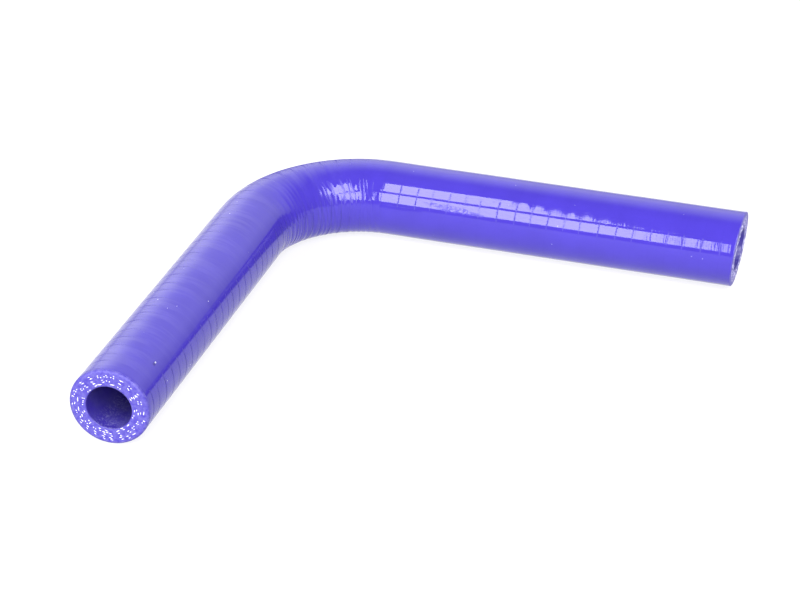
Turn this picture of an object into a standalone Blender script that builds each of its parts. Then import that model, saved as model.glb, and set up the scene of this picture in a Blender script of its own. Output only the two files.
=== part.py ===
"""Silicone coolant hose: a moulded ninety-degree elbow with two straight legs, lying flat.

Metres, +Z up. Leg A runs from the bend towards -Y and leg B towards +X. The hose is one piece:
a round bore, a thick wall, and an outside that keeps the marks of the tape that held it while
it cured. The tape was wound on as one ribbon, each turn over the edge of the last, so the skin
is modelled as that ribbon: a fine step at each lap, crowding into wrinkles on the inside of
the bend. Both ends are knife cuts, a few degrees off square.
"""

import math

import bmesh
import bpy
from mathutils import Vector

# Driving dimensions
BORE = 0.013
WALL = 0.005
BEND_RADIUS = 0.0345
BEND_ANGLE = math.radians(90.0)
LEG_A = 0.107
LEG_B = 0.110

# The knife cuts: swing turns the face towards the inside of the bend, lean tilts it upwards
CUT_A_SWING = math.radians(3.6)
CUT_A_LEAN = math.radians(1.0)
CUT_B_SWING = math.radians(0.0)
CUT_B_LEAN = math.radians(-4.65)

# The marks of the wrapping tape: each turn moves it on by the advance, and wanders a little
# from that in two slow waves, in radians a turn. Its edge leaves a step, deeper where it folds
LAP_ADVANCE = 0.0055
LAP_WANDER = 0.0007
WANDER_RATES = (2.1, 5.3)
LAP_EDGE = 0.0006
LAP_STEP = 0.00014
WRINKLE_DEPTH = 0.00028

# Turns of the ribbon that run past each end before the knife cuts
SPARE_TURNS = 3

# Facets
SIDES = 40
BORE_SIDES = 32
BORE_RINGS = 22

OUTER = BORE / 2 + WALL
BEND_LENGTH = BEND_RADIUS * BEND_ANGLE
LENGTH = LEG_A + BEND_LENGTH + LEG_B
UP = Vector((0, 0, 1))


def in_bend(along):
    """How far round the bend a place lies, from 0 to 1; outside that range it is on a leg."""
    return (along - LEG_A) / BEND_LENGTH


def section(along):
    """The centreline point, the direction of travel and the way to the inside of the bend."""
    turned = min(max(in_bend(along), 0.0), 1.0) * BEND_ANGLE
    travel = Vector((math.sin(turned), math.cos(turned), 0))
    inward = Vector((math.cos(turned), -math.sin(turned), 0))
    straight = min(along - LEG_A, 0.0) + max(along - LEG_A - BEND_LENGTH, 0.0)
    point = -BEND_RADIUS * inward + straight * travel
    return point, travel, inward


def on_tube(along, around, radius):
    """A point at a radius from the centreline; around is 0 on the inside of the bend."""
    point, travel, inward = section(along)
    return point + radius * (math.cos(around) * inward + math.sin(around) * UP)


def crowding(along, around):
    """From 0 on the legs and the outside of the bend to 1 at the middle of its inside."""
    if not 0 < in_bend(along) < 1:
        return 0.0
    return math.sin(math.pi * in_bend(along)) * max(math.cos(around), 0.0) ** 2


def lap_place(turns):
    """How far along the hose the tape's edge lies after so many turns round it."""
    slow, fast = WANDER_RATES
    wander = (math.sin(slow * turns) + math.sin(fast * turns)) / 2
    return turns * LAP_ADVANCE + LAP_WANDER * wander


def tape_mark(turn):
    """The mark across one lap, as places along the hose, each with its radius.

    The skin drops from the crest at the tape's edge to the foot of the step, and from there
    it rises slowly to the next crest. In the bend it swells between the two, as a soft fold.
    """
    crest = lap_place(turn)
    foot = crest + LAP_EDGE
    depth = LAP_STEP + WRINKLE_DEPTH * crowding(foot, 2 * math.pi * turn)
    mark = [(crest, OUTER), (foot, OUTER - depth)]
    if 0 < in_bend(crest) < 1:
        mark.append(((crest + lap_place(turn + 1)) / 2, OUTER))
    return mark


def add_skin(bm):
    """The outside, as one ribbon wound round the hose and running past both ends."""
    turns = math.ceil(LENGTH / LAP_ADVANCE) + 2 * SPARE_TURNS
    ribbon = []
    for step in range(turns * SIDES + 1):
        turn = step / SIDES - SPARE_TURNS
        around = 2 * math.pi * turn
        mark = tape_mark(turn)
        ribbon.append([bm.verts.new(on_tube(along, around, radius)) for along, radius in mark])
    for step in range((turns - 1) * SIDES):
        here = ribbon[step] + ribbon[step + SIDES][:1]
        beside = ribbon[step + 1] + ribbon[step + 1 + SIDES][:1]
        bm.faces.new((here[0], here[1], beside[1], beside[0]))
        if len(here) == len(beside):
            for row in range(1, len(here) - 1):
                bm.faces.new((here[row], here[row + 1], beside[row + 1], beside[row]))
        else:
            bm.faces.new(here[1:] + beside[:0:-1])


def add_bore(bm):
    """The inside: rings that run straight down both legs and follow the bend."""
    overshoot = 2 * OUTER
    places = [LEG_A + BEND_LENGTH * ring / BORE_RINGS for ring in range(BORE_RINGS + 1)]
    places = [-overshoot] + places + [LENGTH + overshoot]
    rings = []
    for along in places:
        angles = [2 * math.pi * side / BORE_SIDES for side in range(BORE_SIDES)]
        rings.append([bm.verts.new(on_tube(along, around, BORE / 2)) for around in angles])
    for ring, following in zip(rings, rings[1:]):
        for side in range(BORE_SIDES):
            beside = (side + 1) % BORE_SIDES
            bm.faces.new((ring[side], ring[beside], following[beside], following[side]))


def cut_end(bm, along, outward, swing, lean):
    """Slice the hose at a place and close the wall there with one flat ring-shaped face."""
    centre, travel, inward = section(along)
    out = outward * travel
    normal = (out + math.tan(swing) * inward + math.tan(lean) * UP).normalized()
    geometry = bm.verts[:] + bm.edges[:] + bm.faces[:]
    cut = bmesh.ops.bisect_plane(
        bm, geom=geometry, plane_co=centre, plane_no=normal, clear_outer=True
    )
    rims = [edge for edge in cut["geom_cut"] if isinstance(edge, bmesh.types.BMEdge)]
    bmesh.ops.triangle_fill(bm, edges=rims, normal=normal, use_beauty=True)


def lay_on_floor(bm):
    """Bring the lowest point to the floor and the middle of the footprint to the origin."""
    low = Vector([min(vert.co[axis] for vert in bm.verts) for axis in range(3)])
    high = Vector([max(vert.co[axis] for vert in bm.verts) for axis in range(3)])
    middle = (low + high) / 2
    bmesh.ops.translate(bm, verts=bm.verts, vec=(-middle.x, -middle.y, -low.z))


def silicone():
    """Glossy blue-violet silicone rubber."""
    material = bpy.data.materials.new("blue_silicone")
    material.use_nodes = True
    shader = material.node_tree.nodes["Principled BSDF"]
    shader.inputs["Base Color"].default_value = (0.10, 0.07, 0.72, 1)
    shader.inputs["Roughness"].default_value = 0.3
    shader.inputs["Metallic"].default_value = 0.0
    return material


def make_hose():
    """The whole hose as one closed body."""
    bm = bmesh.new()
    add_skin(bm)
    add_bore(bm)
    cut_end(bm, 0, -1, CUT_A_SWING, CUT_A_LEAN)
    cut_end(bm, LENGTH, 1, CUT_B_SWING, CUT_B_LEAN)
    bmesh.ops.recalc_face_normals(bm, faces=bm.faces)
    lay_on_floor(bm)
    mesh = bpy.data.meshes.new("hose")
    bm.to_mesh(mesh)
    bm.free()
    mesh.materials.append(silicone())
    mesh.shade_smooth()
    mesh.set_sharp_from_angle(angle=math.radians(40))
    bpy.context.scene.collection.objects.link(bpy.data.objects.new("hose", mesh))


for thing in list(bpy.data.objects):
    bpy.data.objects.remove(thing, do_unlink=True)
make_hose()
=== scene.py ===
import math
import random

import bmesh
import bpy
import numpy as np
from mathutils import Matrix, Vector


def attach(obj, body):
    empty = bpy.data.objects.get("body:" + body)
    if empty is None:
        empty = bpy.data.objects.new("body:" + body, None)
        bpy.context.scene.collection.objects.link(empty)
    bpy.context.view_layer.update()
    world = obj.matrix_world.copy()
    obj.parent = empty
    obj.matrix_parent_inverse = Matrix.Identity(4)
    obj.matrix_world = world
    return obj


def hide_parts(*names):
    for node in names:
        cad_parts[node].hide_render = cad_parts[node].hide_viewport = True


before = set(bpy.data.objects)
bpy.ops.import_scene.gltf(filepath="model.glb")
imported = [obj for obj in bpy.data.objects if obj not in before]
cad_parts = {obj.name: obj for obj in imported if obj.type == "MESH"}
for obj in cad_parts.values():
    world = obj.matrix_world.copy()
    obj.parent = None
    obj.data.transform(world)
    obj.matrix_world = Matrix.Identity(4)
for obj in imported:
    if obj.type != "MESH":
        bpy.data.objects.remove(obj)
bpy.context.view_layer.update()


# The camera. It looks down at the elbow from in front and a little to the right, with a long
# lens, so the near cut end faces it and the two legs run away to the left and to the right.
view_azimuth = math.radians(17.907)
view_elevation = math.radians(29.547)
view_target = Vector((-0.01027, 0.00426, 0.0115))
view_distance = 0.72449
view_back = Vector((
    math.sin(view_azimuth) * math.cos(view_elevation),
    -math.cos(view_azimuth) * math.cos(view_elevation),
    math.sin(view_elevation),
))
camera = bpy.data.objects.new("camera", bpy.data.cameras.new("camera"))
camera.data.lens = 112.164
camera.data.sensor_width = 36.0
camera.location = view_target + view_distance * view_back
camera.rotation_euler = (math.pi / 2 - view_elevation, 0.0, view_azimuth)
bpy.context.scene.collection.objects.link(camera)
bpy.context.scene.camera = camera
bpy.context.scene.view_settings.view_transform = "Standard"


# The hose. Silicone rubber and polyester plies, wrapped round a bent mandrel, pressed by a
# spiral of tape while it cured, pulled off and cut to length with a knife. Here its ring of
# wall is drawn out along one leg, spun round the bend and drawn out along the other.
bore = 0.013
wall = 0.005
outer = bore / 2 + wall
bend_radius = 0.0345
leg_a = 0.107
leg_b = 0.110
bend_angle = math.pi / 2
bend_length = bend_radius * bend_angle
bend_centre = Vector((-0.0324628, 0.0308718, outer))
end_a = Vector((bend_centre.x - bend_radius, bend_centre.y - leg_a, outer))
end_b = Vector((bend_centre.x + leg_b, bend_centre.y + bend_radius, outer))

# the knife cuts: swing turns a face towards the inside of the bend, lean tilts it upwards
cut_a_swing = math.radians(3.6)
cut_a_lean = math.radians(1.0)
cut_b_lean = math.radians(-4.65)
cut_a_normal = Vector((math.tan(cut_a_swing), -1.0, math.tan(cut_a_lean))).normalized()
cut_b_normal = Vector((1.0, 0.0, math.tan(cut_b_lean))).normalized()
cut_off = 0.003
skin_rim_a = 0.0009
skin_rim_b = 0.0004
bore_rim = 0.0002

# facets: round the hose, along the bend, along each leg outside and inside, across the wall
hose_sides = 80
bend_steps = 160
leg_cuts = 314
bore_cuts = 24
wall_cuts = 8

# an edge longer than the first of these runs the whole of a leg, and a point nearer than the
# second to the skin or the bore lies on it
whole_leg = 0.09
close = 1e-4


def tube_place(point):
    """How far along the hose a point lies, how far round it from the inside, and its radius."""
    x = point[0] - bend_centre.x
    y = point[1] - bend_centre.y
    if y <= 0 and x < 0:
        along, aside = leg_a + y, x + bend_radius
    elif x >= 0:
        along, aside = leg_a + bend_length + x, bend_radius - y
    else:
        along = leg_a + bend_radius * math.atan2(y, -x)
        aside = bend_radius - math.hypot(x, y)
    height = point[2] - bend_centre.z
    return along, math.atan2(height, aside), math.hypot(aside, height)


def at_skin(point):
    """True where a point lies on the outside of the hose."""
    return tube_place(point)[2] > outer - close


def at_bore(point):
    """True where a point lies on the inside of the hose."""
    return tube_place(point)[2] < bore / 2 + close


def on_cut(point, end, normal):
    """True where a point lies in the plane of a knife cut."""
    return abs((point - end).dot(normal)) < close / 10


def select_edges(piece, wanted):
    """In edit mode, select just the edges whose two ends together pass the test."""
    bpy.ops.mesh.select_mode(type="EDGE")
    bpy.ops.mesh.select_all(action="DESELECT")
    mesh = bmesh.from_edit_mesh(piece.data)
    for edge in mesh.edges:
        if wanted(edge.verts[0].co, edge.verts[1].co):
            edge.select_set(True)
    bmesh.update_edit_mesh(piece.data)


def add_ring(radius):
    """A bare circle just past end A, square to leg A."""
    bpy.ops.mesh.primitive_circle_add(
        vertices=hose_sides, radius=radius, fill_type="NOTHING",
        location=end_a - Vector((0, cut_off, 0)), rotation=(math.pi / 2, 0, 0),
    )


bpy.ops.object.select_all(action="DESELECT")
add_ring(outer)
hose = bpy.context.object
hose.name = "moulded_hose"
hose.data.name = "moulded_hose"
bpy.ops.object.transform_apply(location=True, rotation=True, scale=True)
bpy.ops.object.mode_set(mode="EDIT")
add_ring(bore / 2)
bpy.ops.mesh.select_all(action="SELECT")
bpy.ops.mesh.extrude_region_move(TRANSFORM_OT_translate={"value": (0, leg_a + cut_off, 0)})
bpy.ops.mesh.spin(
    steps=bend_steps, angle=bend_angle, center=bend_centre, axis=(0, 0, 1), dupli=False
)
bpy.ops.mesh.extrude_region_move(TRANSFORM_OT_translate={"value": (leg_b + cut_off, 0, 0)})
bpy.ops.mesh.select_all(action="SELECT")
bpy.ops.mesh.remove_doubles(threshold=close / 100)

# the two knife cuts, each closed by the ring of wall, with both its edges softly rounded
for end, normal in ((end_a, cut_a_normal), (end_b, cut_b_normal)):
    bpy.ops.mesh.select_all(action="SELECT")
    bpy.ops.mesh.bisect(plane_co=end, plane_no=normal, clear_outer=True, use_fill=False)
    select_edges(hose, lambda one, two: (
        on_cut(one, end, normal) and on_cut(two, end, normal) and at_bore(one)
    ))
    bpy.ops.mesh.extrude_region_move()
    bpy.ops.transform.resize(value=(2 * outer / bore,) * 3, center_override=end)
bpy.ops.mesh.select_all(action="SELECT")
bpy.ops.mesh.remove_doubles(threshold=close / 10)
bpy.ops.mesh.normals_make_consistent(inside=False)
for end, normal, skin_rim in ((end_a, cut_a_normal, skin_rim_a), (end_b, cut_b_normal, skin_rim_b)):
    select_edges(hose, lambda one, two: (
        on_cut(one, end, normal) and on_cut(two, end, normal) and at_skin(one) and at_skin(two)
    ))
    bpy.ops.mesh.bevel(offset=skin_rim, segments=5, profile=0.5, affect="EDGES")
    select_edges(hose, lambda one, two: (
        on_cut(one, end, normal) and on_cut(two, end, normal) and at_bore(one) and at_bore(two)
    ))
    bpy.ops.mesh.bevel(offset=bore_rim, segments=2, profile=0.5, affect="EDGES")

# finer facets: the wall across, then the legs outside, then the legs inside
select_edges(hose, lambda one, two: (
    (on_cut(one, end_a, cut_a_normal) or on_cut(one, end_b, cut_b_normal))
    and 0.6 * wall < (one - two).length < 1.5 * wall
))
bpy.ops.mesh.subdivide(number_cuts=wall_cuts)
select_edges(hose, lambda one, two: (one - two).length > whole_leg and at_skin(one))
bpy.ops.mesh.subdivide(number_cuts=leg_cuts)
select_edges(hose, lambda one, two: (one - two).length > whole_leg)
bpy.ops.mesh.subdivide(number_cuts=bore_cuts)
bpy.ops.mesh.select_all(action="SELECT")
bpy.ops.mesh.normals_make_consistent(inside=False)
bpy.ops.object.mode_set(mode="OBJECT")

# where each point lies on the hose; round it, the skin is counted from its lowest line
corner = np.empty(len(hose.data.vertices) * 3)
hose.data.vertices.foreach_get("co", corner)
places = np.array([tube_place(point) for point in corner.reshape(-1, 3)])
along = places[:, 0]
around = np.mod(places[:, 1] + math.pi / 2, 2 * math.pi) - math.pi / 2
radius = places[:, 2]
in_bend = (along - leg_a) / bend_length

# the tape: each turn moves it on by the advance, which wanders in two slow waves and is
# longer on leg B
lap_advance = 0.0046
extra_advance_b = 0.0007
turns_to_leg_b = 35
lap_wander = 0.0006
wander_rates = (2.1, 5.3)
spare_turns = 3
counted_turns = 14


def lap_place(turns):
    """How far along the hose the tape's edge lies after so many turns round it."""
    slow, fast = wander_rates
    wander = (np.sin(slow * turns) + np.sin(fast * turns)) / 2
    extra = extra_advance_b * np.maximum(turns - turns_to_leg_b, 0)
    return turns * lap_advance + extra + lap_wander * wander


def lap_count(along, around):
    """How many laps of the tape lie before a place; a whole number is the tape's edge."""
    part = around / (2 * math.pi)
    whole = np.floor(along / (lap_advance + extra_advance_b) - part) - spare_turns
    for _ in range(counted_turns):
        whole = np.where(lap_place(whole + 1 + part) <= along, whole + 1, whole)
    edge = lap_place(whole + part)
    return whole + (along - edge) / (lap_place(whole + 1 + part) - edge)


def ramp(value, start, end):
    """From 0 to 1, straight, as the value goes from start to end."""
    return np.clip((value - start) / (end - start), 0, 1)


# the relief of the skin: each lap is pillowed, more so on leg B, with a trace of a step at its
# edge; the wall is a little uneven, and its back ripples where the plies were pulled tight
laps = lap_count(along, around)
lap_step = 0.000002
lap_edge = 0.09
lap_pillow_a = 0.000008
lap_pillow_b = 0.000017
uneven_depth = 0.00003
ripple_depth = 0.000018
ripple_pitch = 0.0034
past_edge = laps - np.floor(laps)
step = np.where(past_edge < lap_edge, past_edge / lap_edge, (1 - past_edge) / (1 - lap_edge))
pillow = (2 * past_edge - 1) ** 2
lap_pillow = lap_pillow_a + (lap_pillow_b - lap_pillow_a) * ramp(along, 0.165, 0.185)
uneven = 0.5 + 0.5 * np.sin(along * 175 + 1.3 * around) * np.cos(2 * around + along * 47)
ripple_phase = along / ripple_pitch + 0.3 * around
ripple_phase = ripple_phase + 0.5 * np.sin(along * 230) + 0.2 * np.sin(3 * around)
ripple_height = 0.6 + 0.4 * np.sin(along * 610 + 2 * around)
ripple = 0.5 + 0.5 * np.sin(2 * math.pi * ripple_phase) * ripple_height
ripple_zone = np.clip(1.4 * np.cos(around - math.radians(118)), 0, 1) * ramp(along, 0.152, 0.122)
depth = lap_step * step + lap_pillow * pillow + uneven_depth * uneven
depth = depth + ripple_depth * ripple * ripple_zone

# the inside of the bend is crowded into folds, deepest on its lower half, and leg B swells
# softly out of the bend over a shallow shoulder
fold_depth = 0.00020
fold_count = 22.5
shoulder_depth = 0.00011
crowded = np.clip(np.sin(math.pi * ramp(in_bend, -0.12, 1.12)), 0, 1) ** 0.7
crowded = crowded * np.clip(np.cos(around * 0.93), 0, 1) ** 1.2
lower = ramp(around, math.radians(30), math.radians(4))
early = ramp(in_bend, 0.62, 0.42)
crowded = crowded * (0.22 + 0.22 * early + (0.78 - 0.22 * early) * lower)
fold = in_bend * fold_count + 0.35 * around
fold = fold + 0.35 * np.sin(in_bend * 23.0) + 0.1 * np.sin(3.1 * around)
fold_mark = 1 - np.abs(np.sin(math.pi * fold)) ** 0.8
depth = depth + fold_depth * crowded * fold_mark
shoulder = ramp(along, 0.1588, 0.1623) * ramp(along, 0.195, 0.1623)
shoulder = shoulder * np.clip(1.6 * np.cos(around - math.radians(32)) - 0.6, 0, 1)
depth = depth + shoulder_depth * shoulder

# the relief pressed into the skin
deepest = float(depth.max())
relief = hose.vertex_groups.new(name="relief")
for index in np.nonzero(radius > outer - close)[0].tolist():
    relief.add([index], float(depth[index] / deepest), "REPLACE")
press = hose.modifiers.new("press", "DISPLACE")
press.vertex_group = "relief"
press.mid_level = 0.0
press.strength = -deepest
press.direction = "NORMAL"
bpy.ops.object.modifier_apply(modifier="press")
hose.vertex_groups.remove(hose.vertex_groups["relief"])

# two maps for the materials: tenths of a metre along and turns round, and laps of the tape;
# turns round are 0 at the bottom, a quarter on the inside of the bend and a half on top
skin_map = hose.data.uv_layers.new(name="skin")
tape_map = hose.data.uv_layers.new(name="tape")
loop_vertex = np.empty(len(hose.data.loops), dtype=np.int64)
hose.data.loops.foreach_get("vertex_index", loop_vertex)
face_size = np.empty(len(hose.data.polygons), dtype=np.int64)
hose.data.polygons.foreach_get("loop_total", face_size)
loop_face = np.repeat(np.arange(len(face_size)), face_size)
face_start = np.concatenate(([0], np.cumsum(face_size)[:-1]))
turn = around[loop_vertex] / (2 * math.pi) + 0.25
wrapped = (np.maximum.reduceat(turn, face_start)[loop_face] - turn) > 0.5
turn = turn + wrapped
lap = laps[loop_vertex] - wrapped
skin_map.data.foreach_set("uv", np.column_stack((along[loop_vertex] * 10, turn)).ravel())
tape_map.data.foreach_set("uv", np.column_stack((lap, turn)).ravel())


def new_material(name):
    """An empty procedural material with a Principled shader, and a way to add nodes to it."""
    material = bpy.data.materials.new(name)
    material.use_nodes = True
    nodes = material.node_tree.nodes
    nodes.clear()
    shader = nodes.new("ShaderNodeBsdfPrincipled")
    output = nodes.new("ShaderNodeOutputMaterial")
    material.node_tree.links.new(shader.outputs["BSDF"], output.inputs["Surface"])
    return material, shader, material.node_tree


def add_node(tree, kind, values=None, **settings):
    """One node with its settings, and its inputs given by name or number: a value or a socket."""
    node = tree.nodes.new(kind)
    for name, value in settings.items():
        setattr(node, name, value)
    for name, value in (values or {}).items():
        if isinstance(value, bpy.types.NodeSocket):
            tree.links.new(value, node.inputs[name])
        else:
            node.inputs[name].default_value = value
    return node


def maths(tree, operation, *values):
    """The output of one Math node."""
    node = add_node(tree, "ShaderNodeMath", dict(enumerate(values)), operation=operation)
    return node.outputs[0]


def product(tree, first, *others):
    """All the values multiplied."""
    for value in others:
        first = maths(tree, "MULTIPLY", first, value)
    return first


def total(tree, first, *others):
    """All the values added."""
    for value in others:
        first = maths(tree, "ADD", first, value)
    return first


def fade(tree, value, start, end):
    """A mask that goes smoothly from 0 to 1 as the value goes from start to end."""
    values = {"Value": value, "From Min": start, "From Max": end}
    node = add_node(tree, "ShaderNodeMapRange", values, interpolation_type="SMOOTHSTEP")
    return node.outputs["Result"]


def spot(tree, value, middle, reach, full):
    """A mask that is 1 within the full distance from the middle and fades to 0 at the reach."""
    off = maths(tree, "ABSOLUTE", maths(tree, "SUBTRACT", value, middle))
    return fade(tree, off, reach, full)


def remap(tree, value, start, end, low, high):
    """A value that goes straight from low to high as the given one goes from start to end."""
    return add_node(tree, "ShaderNodeMapRange", {
        "Value": value, "From Min": start, "From Max": end, "To Min": low, "To Max": high,
    }).outputs["Result"]


def noise(tree, place, scale, detail, roughness=0.5, **settings):
    """The value of one Noise Texture."""
    return add_node(tree, "ShaderNodeTexNoise", {
        "Vector": place, "Scale": scale, "Detail": detail, "Roughness": roughness,
    }, **settings).outputs["Fac"]


def mix(tree, factor, below, above):
    """The colour below, covered by the one above as far as the factor goes."""
    return add_node(tree, "ShaderNodeMix", {
        "Factor": factor, "A": below, "B": above,
    }, data_type="RGBA").outputs["Result"]


def add_bump(tree, shader, height, strength, distance):
    """Raise the surface by a height."""
    bump = add_node(tree, "ShaderNodeBump", {
        "Height": height, "Strength": strength, "Distance": distance,
    })
    tree.links.new(bump.outputs["Normal"], shader.inputs["Normal"])


def new_group(name, inputs, outputs):
    """A shader node group with named sockets, each given as its name, kind and value."""
    group = bpy.data.node_groups.new(name, "ShaderNodeTree")
    for label, kind, value in inputs:
        socket = group.interface.new_socket(name=label, in_out="INPUT", socket_type=kind)
        if value is not None:
            socket.default_value = value
    for label, kind in outputs:
        group.interface.new_socket(name=label, in_out="OUTPUT", socket_type=kind)
    return group, group.nodes.new("NodeGroupInput"), group.nodes.new("NodeGroupOutput")


# dust: a few pale specks that cling to the rubber, the same on the skin, in the bore and on
# the cut ends
dust_group, dust_in, dust_out = new_group(
    "dust",
    [("Vector", "NodeSocketVector", None), ("Scale", "NodeSocketFloat", 140.0),
     ("Amount", "NodeSocketFloat", 0.1)],
    [("Mask", "NodeSocketFloat")],
)
speck = add_node(dust_group, "ShaderNodeTexVoronoi", {
    "Vector": dust_in.outputs["Vector"], "Scale": dust_in.outputs["Scale"], "Randomness": 1.0,
})
pick = add_node(dust_group, "ShaderNodeSeparateColor", {"Color": speck.outputs["Color"]})
near = fade(dust_group, speck.outputs["Distance"], 0.046, 0.024)
chosen = maths(dust_group, "LESS_THAN", pick.outputs["Red"], dust_in.outputs["Amount"])
dust_group.links.new(product(dust_group, near, chosen), dust_out.inputs["Mask"])

# silicone: the blue body colour, a little uneven as the pigment lies in it
body_blue = (0.040, 0.026, 0.308)
silicone_group, silicone_in, silicone_out = new_group(
    "silicone_blue",
    [("Vector", "NodeSocketVector", None), ("Lightness", "NodeSocketFloat", 1.0)],
    [("Color", "NodeSocketColor")],
)
cloud = noise(silicone_group, silicone_in.outputs["Vector"], 90.0, 4.0, 0.6)
pigment = remap(silicone_group, cloud, 0.3, 0.7, 0.94, 1.06)
tinted = add_node(silicone_group, "ShaderNodeVectorMath", {
    0: body_blue, "Scale": product(silicone_group, pigment, silicone_in.outputs["Lightness"]),
}, operation="SCALE")
silicone_group.links.new(tinted.outputs["Vector"], silicone_out.inputs["Color"])

# the skin: glossy blue rubber with the print of the tape, fine creases across it, and dust;
# everything on it is placed by the two maps
skin_material, shader, tree = new_material("blue_silicone_skin")
objects = add_node(tree, "ShaderNodeTexCoord").outputs["Object"]
skin_place = add_node(tree, "ShaderNodeUVMap", uv_map="skin").outputs["UV"]
tape_place = add_node(tree, "ShaderNodeUVMap", uv_map="tape").outputs["UV"]
skin_axes = add_node(tree, "ShaderNodeSeparateXYZ", {"Vector": skin_place})
tape_axes = add_node(tree, "ShaderNodeSeparateXYZ", {"Vector": tape_place})
along_10 = skin_axes.outputs["X"]
round_1 = skin_axes.outputs["Y"]


def skin_noise(along_scale, round_scale, *values, **settings):
    """Noise that lies on the skin, with its own scale along the hose and round it."""
    place = add_node(tree, "ShaderNodeCombineXYZ", {
        "X": product(tree, along_10, along_scale), "Y": product(tree, round_1, round_scale),
    })
    return noise(tree, place.outputs["Vector"], *values, **settings)


def gap_to_line(place, randomness):
    """How far a place lies from the nearest of a row of unevenly spaced lines."""
    return add_node(tree, "ShaderNodeTexVoronoi", {
        "W": place, "Scale": 1.0, "Randomness": randomness,
    }, voronoi_dimensions="1D", feature="DISTANCE_TO_EDGE").outputs["Distance"]


# the parts of the skin where the tape bit in: both sides of leg A and the back of the hose
on_leg_a = fade(tree, along_10, 1.65, 1.35)
inner_side = product(tree, fade(tree, round_1, 0.35, 0.29), on_leg_a)
softer_back = total(tree, product(tree, fade(tree, round_1, 0.75, 0.60), 0.5), 0.5)
outer_side = product(tree, fade(tree, round_1, 0.44, 0.58), on_leg_a, softer_back)
back = product(tree, fade(tree, round_1, 0.58, 0.72), 0.5)
bitten = total(tree, inner_side, maths(tree, "MAXIMUM", outer_side, back))

# the glossy front of leg B, where only the edges of the tape show
front_top = remap(tree, along_10, 1.6, 2.7, 0.398, 0.352)
below_top = fade(tree, maths(tree, "SUBTRACT", round_1, front_top), 0.0, -0.014)
front_b = product(tree, fade(tree, round_1, 0.286, 0.296), below_top)
front_b = product(tree, front_b, fade(tree, along_10, 1.50, 1.63))

# the edges of the tape: fine lines that waver and break up; on leg B some are fainter
wobble = noise(tree, objects, 60.0, 2.0)
shifted = total(tree, tape_axes.outputs["X"], product(tree, wobble, 0.18))
broken = fade(tree, noise(tree, objects, 110.0, 2.0), 0.30, 0.50)
from_edge = maths(tree, "SUBTRACT", maths(tree, "PINGPONG", shifted, 0.5),
                  product(tree, inner_side, 0.009))
lap_line = fade(tree, from_edge, 0.045, 0.018)
lap_line = product(tree, lap_line, total(tree, product(tree, broken, 0.5), 0.5))
lap_pick = add_node(tree, "ShaderNodeTexWhiteNoise", {
    "W": maths(tree, "ROUND", shifted),
}, noise_dimensions="1D").outputs["Value"]
picked = total(tree, product(tree, fade(tree, lap_pick, 0.1, 0.5), 0.75), 0.25)
marked = maths(tree, "MAXIMUM", bitten, product(tree, front_b, picked))
lap_line = product(tree, lap_line, total(tree, product(tree, marked, 0.85), 0.15))

# the fine creases between them, and the two kinds of line together
crease_wave = skin_noise(9.0, 2.5, 1.6, 2.0)
crease_place = total(
    tree, product(tree, along_10, 62.0), product(tree, round_1, -5.0),
    product(tree, crease_wave, 1.5),
)
crease_line = fade(tree, gap_to_line(crease_place, 0.8), 0.14, 0.02)
crease_line = product(tree, crease_line, on_leg_a, bitten, 0.35)
lines = maths(tree, "MAXIMUM", lap_line, crease_line)
deep_lines = product(tree, lines, bitten)

# the inner front of the bend, where the skin was pulled into slanted puckers
pulled_along = product(tree, fade(tree, along_10, 1.30, 1.38), fade(tree, along_10, 1.57, 1.52))
pulled_round = product(tree, fade(tree, round_1, 0.28, 0.30), fade(tree, round_1, 0.42, 0.39))
pulled_place = total(
    tree, product(tree, along_10, 40.0), product(tree, round_1, 9.0),
    product(tree, crease_wave, 3.0),
)
pulled_width = remap(tree, along_10, 1.36, 1.45, 0.50, 0.20)
pulled_line = fade(tree, gap_to_line(pulled_place, 0.9), pulled_width, 0.04)
pulled_line = product(tree, pulled_line, pulled_along, pulled_round)

# fine stripes round the hose, strongest on the front of leg B and along the inside of leg A
stripe = skin_noise(170.0, 9.0, 1.0, 1.0, noise_dimensions="2D")
band_edge = product(tree, fade(tree, along_10, 0.0, 0.5), fade(tree, along_10, 1.32, 1.22))
band_edge = product(tree, band_edge, fade(tree, round_1, 0.42, 0.36))
striped = maths(tree, "MAXIMUM", front_b, product(tree, band_edge, 1.8))
striped = total(tree, product(tree, striped, 0.10), 0.03)
grain = noise(tree, objects, 1600.0, 3.0, 0.6)
height = total(
    tree, product(tree, deep_lines, -0.20), product(tree, grain, 0.015),
    product(tree, stripe, striped), product(tree, pulled_line, -0.35),
)
add_bump(tree, shader, height, 1.0, 0.00008)

# a nick near end A: a gash darkened with painted shade in the cut, with a pale flap beside it,
# placed in millimetres
nick_along = product(tree, maths(tree, "SUBTRACT", along_10, 0.138), 100.0)
nick_round = product(tree, maths(tree, "SUBTRACT", round_1, 0.372), 72.0)
gash = spot(tree, nick_along, -0.8, 0.9, 0.4)
gash = product(tree, gash, spot(tree, nick_round, 0.0, 0.55, 0.2))
flap = spot(tree, nick_along, 0.0, 0.45, 0.15)
flap = product(tree, flap, spot(tree, nick_round, 0.0, 0.35, 0.10))

# a scuff low on the front of leg B, slanted across it
scuff_slant = product(tree, maths(tree, "SUBTRACT", round_1, 0.330), 3.0)
scuffed = spot(tree, total(tree, along_10, scuff_slant), 1.805, 0.09, 0.04)
scuffed = product(tree, scuffed, spot(tree, round_1, 0.318, 0.020, 0.010))
scuffed = product(tree, scuffed, fade(tree, grain, 0.42, 0.54))
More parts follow.
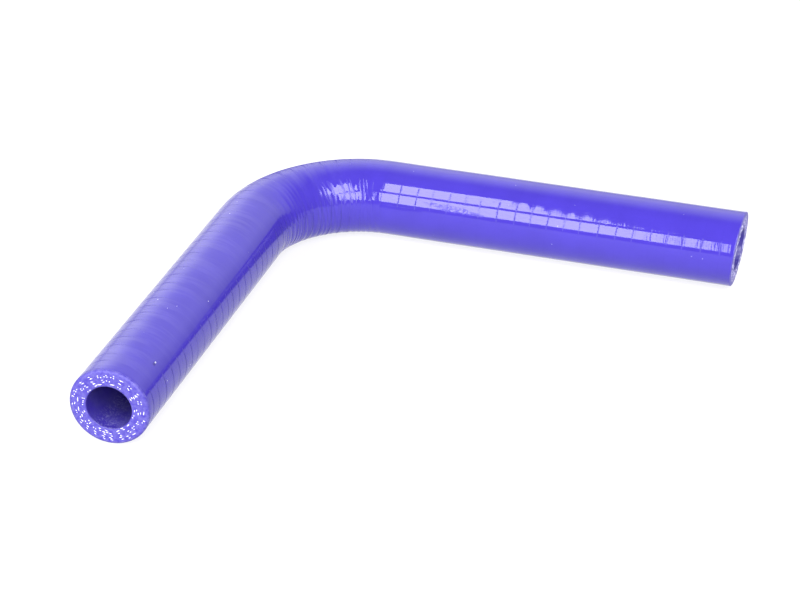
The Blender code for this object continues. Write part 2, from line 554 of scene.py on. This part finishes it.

# the colour: blue, with dust, pale bands of painted sheen round leg A, lines darkened with painted
# shade, and the nick
blue = add_node(tree, "ShaderNodeGroup", {"Vector": objects}, node_tree=silicone_group)
dust = add_node(tree, "ShaderNodeGroup", {
    "Vector": objects, "Scale": 300.0, "Amount": 0.7,
}, node_tree=dust_group)
speckled = total(tree, product(tree, on_leg_a, 0.65), 0.35)
# painted sheen: pale bands round leg A, strongest on its top and outer side, stand in for the soft
# sheen across the laps
painted_sheen_bands = skin_noise(32.0, 3.0, 1.0, 3.0, 0.6, noise_dimensions="2D")
painted_sheen_bands = product(tree, fade(tree, painted_sheen_bands, 0.42, 0.66), fade(tree, along_10, 1.55, 1.25))
painted_sheen_bands = product(tree, painted_sheen_bands, total(tree, fade(tree, round_1, 0.36, 0.50), 0.3))
# painted shade: the lines are darkened, most where the tape bit in, as shade in the grooves
painted_groove_shade = total(tree, product(tree, lines, 0.30), product(tree, deep_lines, 0.48))
colour = blue.outputs["Color"]
for cover, paint in (
    (product(tree, dust.outputs["Mask"], speckled), (0.8, 0.8, 0.9, 1.0)),
    (product(tree, painted_sheen_bands, 0.03), (0.50, 0.48, 0.70, 1.0)),
    (painted_groove_shade, (0.020, 0.012, 0.20, 1.0)),
    # painted shade: the gash is darkened as shade in the cut
    (product(tree, gash, 0.6), (0.010, 0.006, 0.10, 1.0)),
    (product(tree, flap, 0.6), (0.75, 0.75, 0.85, 1.0)),
):
    colour = mix(tree, cover, colour, paint)
tree.links.new(colour, shader.inputs["Base Color"])

# the gloss: high, but matt in the lines, the puckers, the nick and the scuff, and where the
# top and back of the bend were stretched
gloss = remap(tree, noise(tree, objects, 160.0, 3.0, 0.6), 0.3, 0.7, 0.03, 0.07)
stretched = product(tree, fade(tree, round_1, 0.38, 0.50), fade(tree, along_10, 1.62, 1.50))
stretched = product(tree, stretched, fade(tree, along_10, 1.10, 1.27))
most_stretched = product(tree, stretched, fade(tree, round_1, 0.51, 0.58))
matt = gloss
for place, amount in (
    (lines, 0.15), (deep_lines, 0.60), (pulled_line, 0.30), (product(tree, lines, front_b), 0.50),
    (stretched, 0.18), (most_stretched, 0.40), (scuffed, 0.35), (gash, 0.35),
):
    matt = total(tree, matt, product(tree, place, amount))
rubber_ior = 1.45
tree.links.new(matt, shader.inputs["Roughness"])
shader.inputs["IOR"].default_value = rubber_ior

# the cut wall: matt and a little chalky from the knife
face_material, shader, tree = new_material("blue_silicone_cut")
objects = add_node(tree, "ShaderNodeTexCoord").outputs["Object"]
blue = add_node(tree, "ShaderNodeGroup", {
    "Vector": objects, "Lightness": 0.96,
}, node_tree=silicone_group)
dust = add_node(tree, "ShaderNodeGroup", {
    "Vector": objects, "Scale": 700.0, "Amount": 0.10,
}, node_tree=dust_group)
knife = noise(tree, objects, 900.0, 3.0, 0.6)
chalk = product(tree, fade(tree, knife, 0.25, 0.75), 0.09)
colour = mix(tree, product(tree, dust.outputs["Mask"], 0.6), blue.outputs["Color"],
             (0.7, 0.7, 0.95, 1.0))
colour = mix(tree, chalk, colour, (0.7, 0.7, 0.8, 1.0))
tree.links.new(colour, shader.inputs["Base Color"])
add_bump(tree, shader, knife, 0.25, 0.0001)
shader.inputs["Roughness"].default_value = 0.5
shader.inputs["IOR"].default_value = rubber_ior

# the bore: smooth from the mandrel, its blue darkened with painted shade, with a grey film in it,
# dust, and powder along the bottom
bore_material, shader, tree = new_material("blue_silicone_bore")
objects = add_node(tree, "ShaderNodeTexCoord").outputs["Object"]
# painted shade: the bore's blue is drawn at two thirds of its lightness, as shade inside the hose
blue = add_node(tree, "ShaderNodeGroup", {
    "Vector": objects, "Lightness": 0.66,
}, node_tree=silicone_group)
dust = add_node(tree, "ShaderNodeGroup", {
    "Vector": objects, "Scale": 420.0, "Amount": 0.8,
}, node_tree=dust_group)
dust_grey = (0.45, 0.45, 0.6, 1.0)
film = product(tree, fade(tree, noise(tree, objects, 210.0, 4.0, 0.65), 0.38, 0.72), 0.11)
level = add_node(tree, "ShaderNodeSeparateXYZ", {"Vector": objects}).outputs["Z"]
powder = fade(tree, noise(tree, objects, 1900.0, 3.0, 0.6), 0.50, 0.64)
powder = product(tree, powder, fade(tree, level, 0.0078, 0.0056), 0.13)
colour = mix(tree, film, blue.outputs["Color"], (0.16, 0.16, 0.20, 1.0))
colour = mix(tree, product(tree, dust.outputs["Mask"], 0.5), colour, dust_grey)
colour = mix(tree, powder, colour, dust_grey)
tree.links.new(colour, shader.inputs["Base Color"])
add_bump(tree, shader, noise(tree, objects, 400.0, 3.0, 0.6), 0.4, 0.0001)
shader.inputs["Roughness"].default_value = 0.28
shader.inputs["IOR"].default_value = rubber_ior

hose.data.materials.append(skin_material)
hose.data.materials.append(face_material)
hose.data.materials.append(bore_material)
for face in hose.data.polygons:
    middle = radius[list(face.vertices)].mean()
    if middle < bore / 2 + 2 * close:
        face.material_index = 2
    elif middle < outer - close / 10:
        face.material_index = 1
bpy.ops.object.select_all(action="DESELECT")
hose.select_set(True)
bpy.context.view_layer.objects.active = hose
bpy.ops.object.shade_smooth_by_angle(angle=math.radians(50))
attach(hose, "root")
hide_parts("hose")


# The thread ends. Each ply is polyester cloth, and the knife leaves its cut yarns showing
# white in the wall, in pairs, small clusters and short dashes that follow three uneven turns
# round the bore.
yarn_material, shader, tree = new_material("polyester_yarn")
objects = add_node(tree, "ShaderNodeTexCoord").outputs["Object"]
fibre = noise(tree, objects, 5000.0, 2.0)
colour = mix(tree, fibre, (0.40, 0.38, 0.70, 1.0), (0.80, 0.80, 0.90, 1.0))
tree.links.new(colour, shader.inputs["Base Color"])
add_bump(tree, shader, fibre, 0.6, 0.00005)
shader.inputs["Roughness"].default_value = 0.8

# each ply as a share of the hose's outside radius, and how many yarns the first one shows
ply_shares = (0.655, 0.755, 0.860)
first_yarns = 18
more_yarns = 3
missing = 0.08
yarn_rise = 0.00007


def thread_ends(name, end, normal, seed):
    """The cut yarns of one end face, as one piece."""
    dice = random.Random(seed)
    bpy.ops.object.select_all(action="DESELECT")
    bpy.ops.mesh.primitive_uv_sphere_add(segments=8, ring_count=4, radius=1.0)
    pattern = bpy.context.object
    sideways = Vector((0, 0, 1)).cross(normal).normalized()
    upward = normal.cross(sideways)
    ends = []

    def place_end(angle, distance, length, width, turn):
        """One yarn end, flattened, at an angle round the face and a distance from its middle."""
        radial = math.cos(angle) * sideways + math.sin(angle) * upward
        across = -math.sin(angle) * sideways + math.cos(angle) * upward
        dash = math.cos(turn) * across + math.sin(turn) * radial
        beside = math.cos(turn) * radial - math.sin(turn) * across
        basis = Matrix((dash * length / 2, beside * width / 2, normal * yarn_rise)).transposed()
        copy = bpy.data.objects.new("yarn", pattern.data.copy())
        copy.data.transform(Matrix.Translation(end + distance * radial) @ basis.to_4x4())
        bpy.context.scene.collection.objects.link(copy)
        ends.append(copy)

    for ply, share in enumerate(ply_shares):
        count = first_yarns + more_yarns * ply
        start = dice.uniform(0, 2 * math.pi)
        for yarn in range(count):
            if dice.random() < missing:
                continue
            angle = start + 2 * math.pi * (yarn + dice.uniform(-0.3, 0.3)) / count
            sway = 0.022 * math.sin(2 * angle + ply)
            middle = outer * (share + sway + dice.uniform(-0.018, 0.018))
            kind = dice.random()
            length = dice.uniform(0.0007, 0.0011)
            turn = dice.uniform(-0.35, 0.35)
            gap = dice.uniform(0.00055, 0.00070)
            if kind < 0.40:
                place_end(angle, middle - gap / 2, length, 0.00030, turn)
                place_end(angle + 0.0003 / middle, middle + gap / 2, length * 0.8, 0.00028, turn)
            elif kind < 0.75:
                half = dice.uniform(0.00035, 0.00042) / middle
                low = middle - gap / 3
                place_end(angle - half, low, 0.00046, 0.00033, turn)
                place_end(angle + half, low + dice.uniform(0, 0.0002), 0.00042, 0.00032, turn)
                if kind < 0.58:
                    shift = dice.uniform(-1, 1) * half
                    place_end(angle + shift, middle + gap / 2, 0.00044, 0.00031, turn)
            else:
                place_end(angle, middle, length * 1.4, 0.00032, turn)
    bpy.data.objects.remove(pattern)
    bpy.ops.object.select_all(action="DESELECT")
    for piece in ends:
        piece.select_set(True)
    bpy.context.view_layer.objects.active = ends[0]
    bpy.ops.object.join()
    joined = bpy.context.object
    joined.name = name
    joined.data.name = name
    bpy.ops.object.shade_smooth()
    joined.data.materials.append(yarn_material)
    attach(joined, "root")


thread_ends("thread_ends_a", end_a, cut_a_normal, 11)
thread_ends("thread_ends_b", end_b, cut_b_normal, 29)


# The floor. A plain white sheet that runs back well past the hose, lit so that it all but
# vanishes, with only a trace of shade where the hose touches it.
bpy.ops.object.select_all(action="DESELECT")
bpy.ops.mesh.primitive_plane_add(size=8.0, location=(0, 0, 0))
floor = bpy.context.object
floor.name = "floor"
floor_material, shader, tree = new_material("white_floor")
shader.inputs["Base Color"].default_value = (0.20, 0.20, 0.20, 1.0)
shader.inputs["Roughness"].default_value = 0.9
shader.inputs["Emission Color"].default_value = (1.0, 1.0, 1.0, 1.0)
shader.inputs["Emission Strength"].default_value = 0.78
floor.data.materials.append(floor_material)


# The light. Two low and two high soft panels lean over the hose from the front, with a bar of
# dark between low and high and a gap between left and right, so that they shine back as two
# strips along leg B. A pale backdrop glows behind, and the rest of the room is dim.
panel_reach = 6.0
panel_glow = 11.0
panel_white = (1.0, 0.985, 1.0)
left_outside = 0.62
right_outside = 1.00

# each panel's low and high edge, as places in front of the hose and above it, the place of
# its inner side and the slant of that side; all but the slant are for a reach of one metre
low_panel = ((-1.455, 0.313), (-0.832, 0.671), 0.176, math.radians(-4.5))
high_panel = ((-0.7155, 0.738), (-0.303, 0.975), 0.211, math.radians(6.5))


def soft_panel(name, edges, sign, outside):
    """A soft box that leans over the scene, on the left or the right of its middle."""
    low_edge, high_edge, inner, slant = edges
    low = Vector((0, low_edge[0] * panel_reach, low_edge[1] * panel_reach))
    high = Vector((0, high_edge[0] * panel_reach, high_edge[1] * panel_reach))
    inner = sign * inner * panel_reach
    width = abs(sign * outside * panel_reach - inner)
    rise = (high - low).normalized()
    outward = Vector((sign, 0, 0))
    length = (high - low).length
    light = bpy.data.objects.new(name, bpy.data.lights.new(name, "AREA"))
    light.data.shape = "RECTANGLE"
    light.data.size = width
    light.data.size_y = length
    light.data.energy = panel_glow * math.pi * width * length
    light.data.color = panel_white
    up_edge = math.cos(slant) * rise + math.sin(slant) * outward
    across = math.cos(slant) * outward - math.sin(slant) * rise
    middle = (low + high) / 2 + Vector((inner, 0, 0)) + across * width / 2
    side = across * sign
    turned = Matrix((side, up_edge, side.cross(up_edge))).transposed()
    light.matrix_world = Matrix.Translation(middle) @ turned.to_4x4()
    bpy.context.scene.collection.objects.link(light)


for side, sign, outside in (("left", -1, left_outside), ("right", 1, right_outside)):
    soft_panel("panel_low_" + side, low_panel, sign, outside)
    soft_panel("panel_high_" + side, high_panel, sign, outside)

# the room: dim, with the backdrop behind and a paler wall on the left
room_glow = 0.15
backdrop_low = 0.6
backdrop_rise = 0.95
wall_glow = 0.8
world = bpy.data.worlds.new("studio")
bpy.context.scene.world = world
world.use_nodes = True
tree = world.node_tree
tree.nodes.clear()
direction = add_node(tree, "ShaderNodeTexCoord").outputs["Generated"]
heading = add_node(tree, "ShaderNodeSeparateXYZ", {"Vector": direction})
rising = fade(tree, heading.outputs["Z"], 0.0, 0.45)
backdrop = product(tree, fade(tree, heading.outputs["Y"], 0.25, 0.75),
                   total(tree, product(tree, rising, backdrop_rise), backdrop_low))
left_wall = product(tree, fade(tree, heading.outputs["X"], -0.15, -0.60),
                    fade(tree, heading.outputs["Z"], -0.05, 0.15), wall_glow)
glow = total(tree, backdrop, room_glow, left_wall)
background = add_node(tree, "ShaderNodeBackground", {
    "Color": (1.0, 1.0, 1.0, 1.0), "Strength": glow,
})
world_output = tree.nodes.new("ShaderNodeOutputWorld")
tree.links.new(background.outputs["Background"], world_output.inputs["Surface"])
